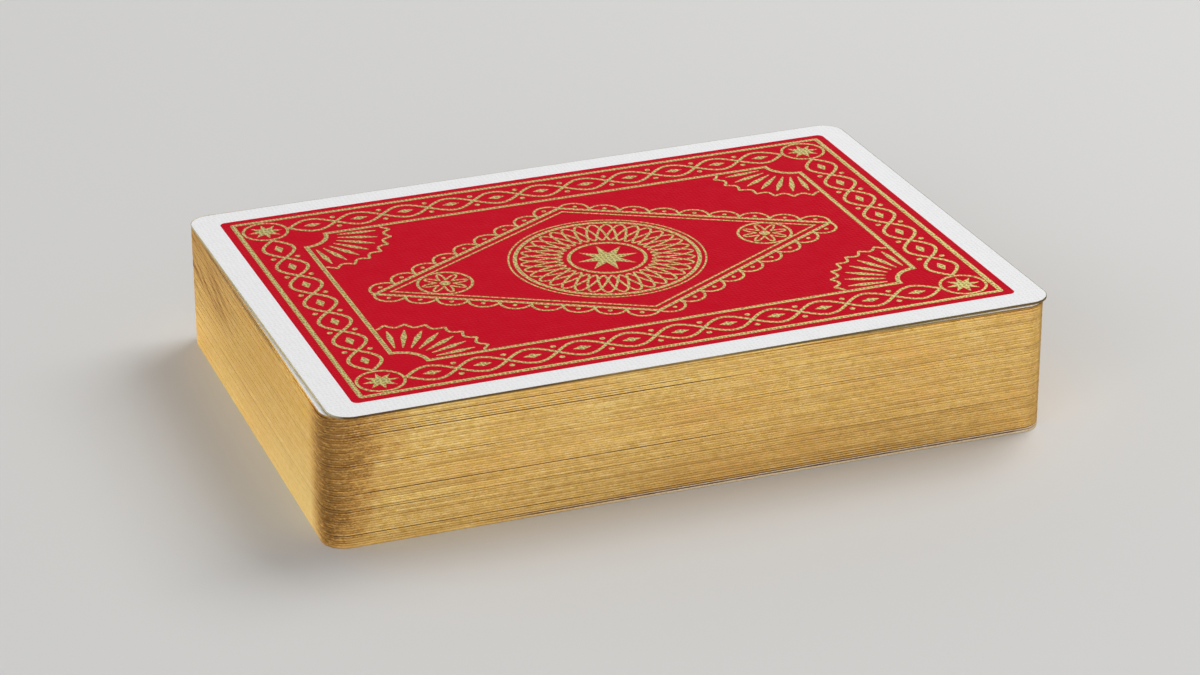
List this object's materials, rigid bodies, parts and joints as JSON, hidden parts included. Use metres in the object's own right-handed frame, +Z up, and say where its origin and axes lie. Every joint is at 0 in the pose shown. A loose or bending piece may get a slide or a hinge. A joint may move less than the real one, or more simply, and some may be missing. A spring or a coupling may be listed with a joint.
{
  "type": "playing card deck",
  "caption": "Squared deck of poker-size playing cards with round corners and gilt edges, lying face down; every card is separate, so the deck can be fanned, swing-cut or dealt.",
  "frame": {"origin": "centre of the bottom card's face, which lies on the table", "axes": "+X along the cards' long sides, +Y across them away from the player, +Z up through the deck from the faces to the backs"},
  "size_m": [0.0899, 0.0649, 0.0165],
  "materials": {
    "card": "linen-embossed card stock, white with a printed back and face, gilt on the cut edges"
  },
  "bodies": {
    "red_joker": {"red_joker": "card"},
    "black_joker": {"black_joker": "card"},
    "blank_card_1": {"blank_card_1": "card"},
    "blank_card_2": {"blank_card_2": "card"},
    "ace_of_spades": {"ace_of_spades": "card"},
    "two_of_spades": {"two_of_spades": "card"},
    "three_of_spades": {"three_of_spades": "card"},
    "four_of_spades": {"four_of_spades": "card"},
    "five_of_spades": {"five_of_spades": "card"},
    "six_of_spades": {"six_of_spades": "card"},
    "seven_of_spades": {"seven_of_spades": "card"},
    "eight_of_spades": {"eight_of_spades": "card"},
    "nine_of_spades": {"nine_of_spades": "card"},
    "ten_of_spades": {"ten_of_spades": "card"},
    "jack_of_spades": {"jack_of_spades": "card"},
    "queen_of_spades": {"queen_of_spades": "card"},
    "king_of_spades": {"king_of_spades": "card"},
    "ace_of_diamonds": {"ace_of_diamonds": "card"},
    "two_of_diamonds": {"two_of_diamonds": "card"},
    "three_of_diamonds": {"three_of_diamonds": "card"},
    "four_of_diamonds": {"four_of_diamonds": "card"},
    "five_of_diamonds": {"five_of_diamonds": "card"},
    "six_of_diamonds": {"six_of_diamonds": "card"},
    "seven_of_diamonds": {"seven_of_diamonds": "card"},
    "eight_of_diamonds": {"eight_of_diamonds": "card"},
    "nine_of_diamonds": {"nine_of_diamonds": "card"},
    "ten_of_diamonds": {"ten_of_diamonds": "card"},
    "jack_of_diamonds": {"jack_of_diamonds": "card"},
    "queen_of_diamonds": {"queen_of_diamonds": "card"},
    "king_of_diamonds": {"king_of_diamonds": "card"},
    "king_of_clubs": {"king_of_clubs": "card"},
    "queen_of_clubs": {"queen_of_clubs": "card"},
    "jack_of_clubs": {"jack_of_clubs": "card"},
    "ten_of_clubs": {"ten_of_clubs": "card"},
    "nine_of_clubs": {"nine_of_clubs": "card"},
    "eight_of_clubs": {"eight_of_clubs": "card"},
    "seven_of_clubs": {"seven_of_clubs": "card"},
    "six_of_clubs": {"six_of_clubs": "card"},
    "five_of_clubs": {"five_of_clubs": "card"},
    "four_of_clubs": {"four_of_clubs": "card"},
    "three_of_clubs": {"three_of_clubs": "card"},
    "two_of_clubs": {"two_of_clubs": "card"},
    "ace_of_clubs": {"ace_of_clubs": "card"},
    "king_of_hearts": {"king_of_hearts": "card"},
    "queen_of_hearts": {"queen_of_hearts": "card"},
    "jack_of_hearts": {"jack_of_hearts": "card"},
    "ten_of_hearts": {"ten_of_hearts": "card"},
    "nine_of_hearts": {"nine_of_hearts": "card"},
    "eight_of_hearts": {"eight_of_hearts": "card"},
    "seven_of_hearts": {"seven_of_hearts": "card"},
    "six_of_hearts": {"six_of_hearts": "card"},
    "five_of_hearts": {"five_of_hearts": "card"},
    "four_of_hearts": {"four_of_hearts": "card"},
    "three_of_hearts": {"three_of_hearts": "card"},
    "two_of_hearts": {"two_of_hearts": "card"},
    "ace_of_hearts": {"ace_of_hearts": "card"}
  },
  "joints": [
    {"name": "deal_ace_of_hearts", "type": "slide", "parent": "red_joker", "child": "ace_of_hearts", "axis": [0, -1, 0], "range_m": [0, 0.066]},
    {"name": "fan_two_of_hearts", "type": "hinge", "parent": "red_joker", "child": "two_of_hearts", "pos_m": [0.04198, -0.02862, 0.01605], "axis": [0, 0, -1], "range_deg": [0, 108]},
    {"name": "fan_three_of_hearts", "type": "hinge", "parent": "red_joker", "child": "three_of_hearts", "pos_m": [0.04183, -0.02886, 0.01576], "axis": [0, 0, -1], "range_deg": [0, 106]},
    {"name": "fan_four_of_hearts", "type": "hinge", "parent": "red_joker", "child": "four_of_hearts", "pos_m": [0.04181, -0.02887, 0.01546], "axis": [0, 0, -1], "range_deg": [0, 104]},
    {"name": "fan_five_of_hearts", "type": "hinge", "parent": "red_joker", "child": "five_of_hearts", "pos_m": [0.04182, -0.02886, 0.01517], "axis": [0, 0, -1], "range_deg": [0, 102]},
    {"name": "fan_six_of_hearts", "type": "hinge", "parent": "red_joker", "child": "six_of_hearts", "pos_m": [0.04183, -0.02884, 0.01488], "axis": [0, 0, -1], "range_deg": [0, 100]},
    {"name": "fan_seven_of_hearts", "type": "hinge", "parent": "red_joker", "child": "seven_of_hearts", "pos_m": [0.0418, -0.02885, 0.01459], "axis": [0, 0, -1], "range_deg": [0, 98]},
    {"name": "fan_eight_of_hearts", "type": "hinge", "parent": "red_joker", "child": "eight_of_hearts", "pos_m": [0.04182, -0.02888, 0.0143], "axis": [0, 0, -1], "range_deg": [0, 96]},
    {"name": "fan_nine_of_hearts", "type": "hinge", "parent": "red_joker", "child": "nine_of_hearts", "pos_m": [0.0418, -0.02888, 0.014], "axis": [0, 0, -1], "range_deg": [0, 94]},
    {"name": "fan_ten_of_hearts", "type": "hinge", "parent": "red_joker", "child": "ten_of_hearts", "pos_m": [0.04179, -0.02886, 0.01371], "axis": [0, 0, -1], "range_deg": [0, 92]},
    {"name": "fan_jack_of_hearts", "type": "hinge", "parent": "red_joker", "child": "jack_of_hearts", "pos_m": [0.04181, -0.02886, 0.01339], "axis": [0, 0, -1], "range_deg": [0, 90]},
    {"name": "fan_queen_of_hearts", "type": "hinge", "parent": "red_joker", "child": "queen_of_hearts", "pos_m": [0.04178, -0.02888, 0.0131], "axis": [0, 0, -1], "range_deg": [0, 88]},
    {"name": "fan_king_of_hearts", "type": "hinge", "parent": "red_joker", "child": "king_of_hearts", "pos_m": [0.0418, -0.02888, 0.01281], "axis": [0, 0, -1], "range_deg": [0, 86]},
    {"name": "fan_ace_of_clubs", "type": "hinge", "parent": "red_joker", "child": "ace_of_clubs", "pos_m": [0.0418, -0.02886, 0.01252], "axis": [0, 0, -1], "range_deg": [0, 84]},
    {"name": "fan_two_of_clubs", "type": "hinge", "parent": "red_joker", "child": "two_of_clubs", "pos_m": [0.04177, -0.02886, 0.01222], "axis": [0, 0, -1], "range_deg": [0, 82]},
    {"name": "fan_three_of_clubs", "type": "hinge", "parent": "red_joker", "child": "three_of_clubs", "pos_m": [0.04179, -0.02889, 0.01193], "axis": [0, 0, -1], "range_deg": [0, 80]},
    {"name": "fan_four_of_clubs", "type": "hinge", "parent": "red_joker", "child": "four_of_clubs", "pos_m": [0.04176, -0.0289, 0.01164], "axis": [0, 0, -1], "range_deg": [0, 78]},
    {"name": "fan_five_of_clubs", "type": "hinge", "parent": "red_joker", "child": "five_of_clubs", "pos_m": [0.04177, -0.02888, 0.01135], "axis": [0, 0, -1], "range_deg": [0, 76]},
    {"name": "fan_six_of_clubs", "type": "hinge", "parent": "red_joker", "child": "six_of_clubs", "pos_m": [0.04179, -0.02886, 0.01106], "axis": [0, 0, -1], "range_deg": [0, 74]},
    {"name": "fan_seven_of_clubs", "type": "hinge", "parent": "red_joker", "child": "seven_of_clubs", "pos_m": [0.04176, -0.02888, 0.01076], "axis": [0, 0, -1], "range_deg": [0, 72]},
    {"name": "fan_eight_of_clubs", "type": "hinge", "parent": "red_joker", "child": "eight_of_clubs", "pos_m": [0.04178, -0.0289, 0.01047], "axis": [0, 0, -1], "range_deg": [0, 70]},
    {"name": "fan_nine_of_clubs", "type": "hinge", "parent": "red_joker", "child": "nine_of_clubs", "pos_m": [0.04176, -0.02889, 0.01015], "axis": [0, 0, -1], "range_deg": [0, 68]},
    {"name": "fan_ten_of_clubs", "type": "hinge", "parent": "red_joker", "child": "ten_of_clubs", "pos_m": [0.04174, -0.02888, 0.00986], "axis": [0, 0, -1], "range_deg": [0, 66]},
    {"name": "fan_jack_of_clubs", "type": "hinge", "parent": "red_joker", "child": "jack_of_clubs", "pos_m": [0.04177, -0.02889, 0.00957], "axis": [0, 0, -1], "range_deg": [0, 64]},
    {"name": "fan_queen_of_clubs", "type": "hinge", "parent": "red_joker", "child": "queen_of_clubs", "pos_m": [0.04174, -0.02891, 0.00928], "axis": [0, 0, -1], "range_deg": [0, 62]},
    {"name": "fan_king_of_clubs", "type": "hinge", "parent": "red_joker", "child": "king_of_clubs", "pos_m": [0.04176, -0.0289, 0.00898], "axis": [0, 0, -1], "range_deg": [0, 60]},
    {"name": "fan_king_of_diamonds", "type": "hinge", "parent": "red_joker", "child": "king_of_diamonds", "pos_m": [0.04176, -0.02888, 0.00869], "axis": [0, 0, -1], "range_deg": [0, 58]},
    {"name": "fan_queen_of_diamonds", "type": "hinge", "parent": "red_joker", "child": "queen_of_diamonds", "pos_m": [0.04173, -0.02889, 0.0084], "axis": [0, 0, -1], "range_deg": [0, 56]},
    {"name": "fan_jack_of_diamonds", "type": "hinge", "parent": "red_joker", "child": "jack_of_diamonds", "pos_m": [0.04175, -0.02891, 0.00811], "axis": [0, 0, -1], "range_deg": [0, 54]},
    {"name": "fan_ten_of_diamonds", "type": "hinge", "parent": "red_joker", "child": "ten_of_diamonds", "pos_m": [0.04172, -0.02892, 0.00782], "axis": [0, 0, -1], "range_deg": [0, 52]},
    {"name": "fan_nine_of_diamonds", "type": "hinge", "parent": "red_joker", "child": "nine_of_diamonds", "pos_m": [0.04172, -0.0289, 0.00752], "axis": [0, 0, -1], "range_deg": [0, 50]},
    {"name": "fan_eight_of_diamonds", "type": "hinge", "parent": "red_joker", "child": "eight_of_diamonds", "pos_m": [0.04174, -0.02889, 0.00723], "axis": [0, 0, -1], "range_deg": [0, 48]},
    {"name": "fan_seven_of_diamonds", "type": "hinge", "parent": "red_joker", "child": "seven_of_diamonds", "pos_m": [0.04171, -0.02891, 0.00694], "axis": [0, 0, -1], "range_deg": [0, 46]},
    {"name": "fan_six_of_diamonds", "type": "hinge", "parent": "red_joker", "child": "six_of_diamonds", "pos_m": [0.04174, -0.02892, 0.00665], "axis": [0, 0, -1], "range_deg": [0, 44]},
    {"name": "fan_five_of_diamonds", "type": "hinge", "parent": "red_joker", "child": "five_of_diamonds", "pos_m": [0.04172, -0.02891, 0.00633], "axis": [0, 0, -1], "range_deg": [0, 42]},
    {"name": "fan_four_of_diamonds", "type": "hinge", "parent": "red_joker", "child": "four_of_diamonds", "pos_m": [0.0417, -0.0289, 0.00604], "axis": [0, 0, -1], "range_deg": [0, 40]},
    {"name": "fan_three_of_diamonds", "type": "hinge", "parent": "red_joker", "child": "three_of_diamonds", "pos_m": [0.04172, -0.02892, 0.00574], "axis": [0, 0, -1], "range_deg": [0, 38]},
    {"name": "fan_two_of_diamonds", "type": "hinge", "parent": "red_joker", "child": "two_of_diamonds", "pos_m": [0.04169, -0.02894, 0.00545], "axis": [0, 0, -1], "range_deg": [0, 36]},
    {"name": "fan_ace_of_diamonds", "type": "hinge", "parent": "red_joker", "child": "ace_of_diamonds", "pos_m": [0.04171, -0.02892, 0.00516], "axis": [0, 0, -1], "range_deg": [0, 34]},
    {"name": "fan_king_of_spades", "type": "hinge", "parent": "red_joker", "child": "king_of_spades", "pos_m": [0.04172, -0.0289, 0.00487], "axis": [0, 0, -1], "range_deg": [0, 32]},
    {"name": "fan_queen_of_spades", "type": "hinge", "parent": "red_joker", "child": "queen_of_spades", "pos_m": [0.04169, -0.02891, 0.00455], "axis": [0, 0, -1], "range_deg": [0, 30]},
    {"name": "fan_jack_of_spades", "type": "hinge", "parent": "red_joker", "child": "jack_of_spades", "pos_m": [0.04171, -0.02894, 0.00426], "axis": [0, 0, -1], "range_deg": [0, 28]},
    {"name": "fan_ten_of_spades", "type": "hinge", "parent": "red_joker", "child": "ten_of_spades", "pos_m": [0.04169, -0.02894, 0.00396], "axis": [0, 0, -1], "range_deg": [0, 26]},
    {"name": "fan_nine_of_spades", "type": "hinge", "parent": "red_joker", "child": "nine_of_spades", "pos_m": [0.04168, -0.02892, 0.00367], "axis": [0, 0, -1], "range_deg": [0, 24]},
    {"name": "fan_eight_of_spades", "type": "hinge", "parent": "red_joker", "child": "eight_of_spades", "pos_m": [0.0417, -0.02893, 0.00338], "axis": [0, 0, -1], "range_deg": [0, 22]},
    {"name": "fan_seven_of_spades", "type": "hinge", "parent": "red_joker", "child": "seven_of_spades", "pos_m": [0.04167, -0.02894, 0.00309], "axis": [0, 0, -1], "range_deg": [0, 20]},
    {"name": "fan_six_of_spades", "type": "hinge", "parent": "red_joker", "child": "six_of_spades", "pos_m": [0.04169, -0.02894, 0.0028], "axis": [0, 0, -1], "range_deg": [0, 18]},
    {"name": "fan_five_of_spades", "type": "hinge", "parent": "red_joker", "child": "five_of_spades", "pos_m": [0.04169, -0.02892, 0.0025], "axis": [0, 0, -1], "range_deg": [0, 16]},
    {"name": "fan_four_of_spades", "type": "hinge", "parent": "red_joker", "child": "four_of_spades", "pos_m": [0.04166, -0.02892, 0.00221], "axis": [0, 0, -1], "range_deg": [0, 14]},
    {"name": "fan_three_of_spades", "type": "hinge", "parent": "red_joker", "child": "three_of_spades", "pos_m": [0.04168, -0.02895, 0.00192], "axis": [0, 0, -1], "range_deg": [0, 12]},
    {"name": "fan_two_of_spades", "type": "hinge", "parent": "red_joker", "child": "two_of_spades", "pos_m": [0.04165, -0.02896, 0.00163], "axis": [0, 0, -1], "range_deg": [0, 10]},
    {"name": "fan_ace_of_spades", "type": "hinge", "parent": "red_joker", "child": "ace_of_spades", "pos_m": [0.04166, -0.02894, 0.00131], "axis": [0, 0, -1], "range_deg": [0, 8]},
    {"name": "fan_blank_card_2", "type": "hinge", "parent": "red_joker", "child": "blank_card_2", "pos_m": [0.04167, -0.02893, 0.00102], "axis": [0, 0, -1], "range_deg": [0, 6]},
    {"name": "fan_blank_card_1", "type": "hinge", "parent": "red_joker", "child": "blank_card_1", "pos_m": [0.04165, -0.02894, 0.00072], "axis": [0, 0, -1], "range_deg": [0, 4]},
    {"name": "fan_black_joker", "type": "hinge", "parent": "red_joker", "child": "black_joker", "pos_m": [0.04167, -0.02896, 0.00043], "axis": [0, 0, -1], "range_deg": [0, 2]}
  ]
}
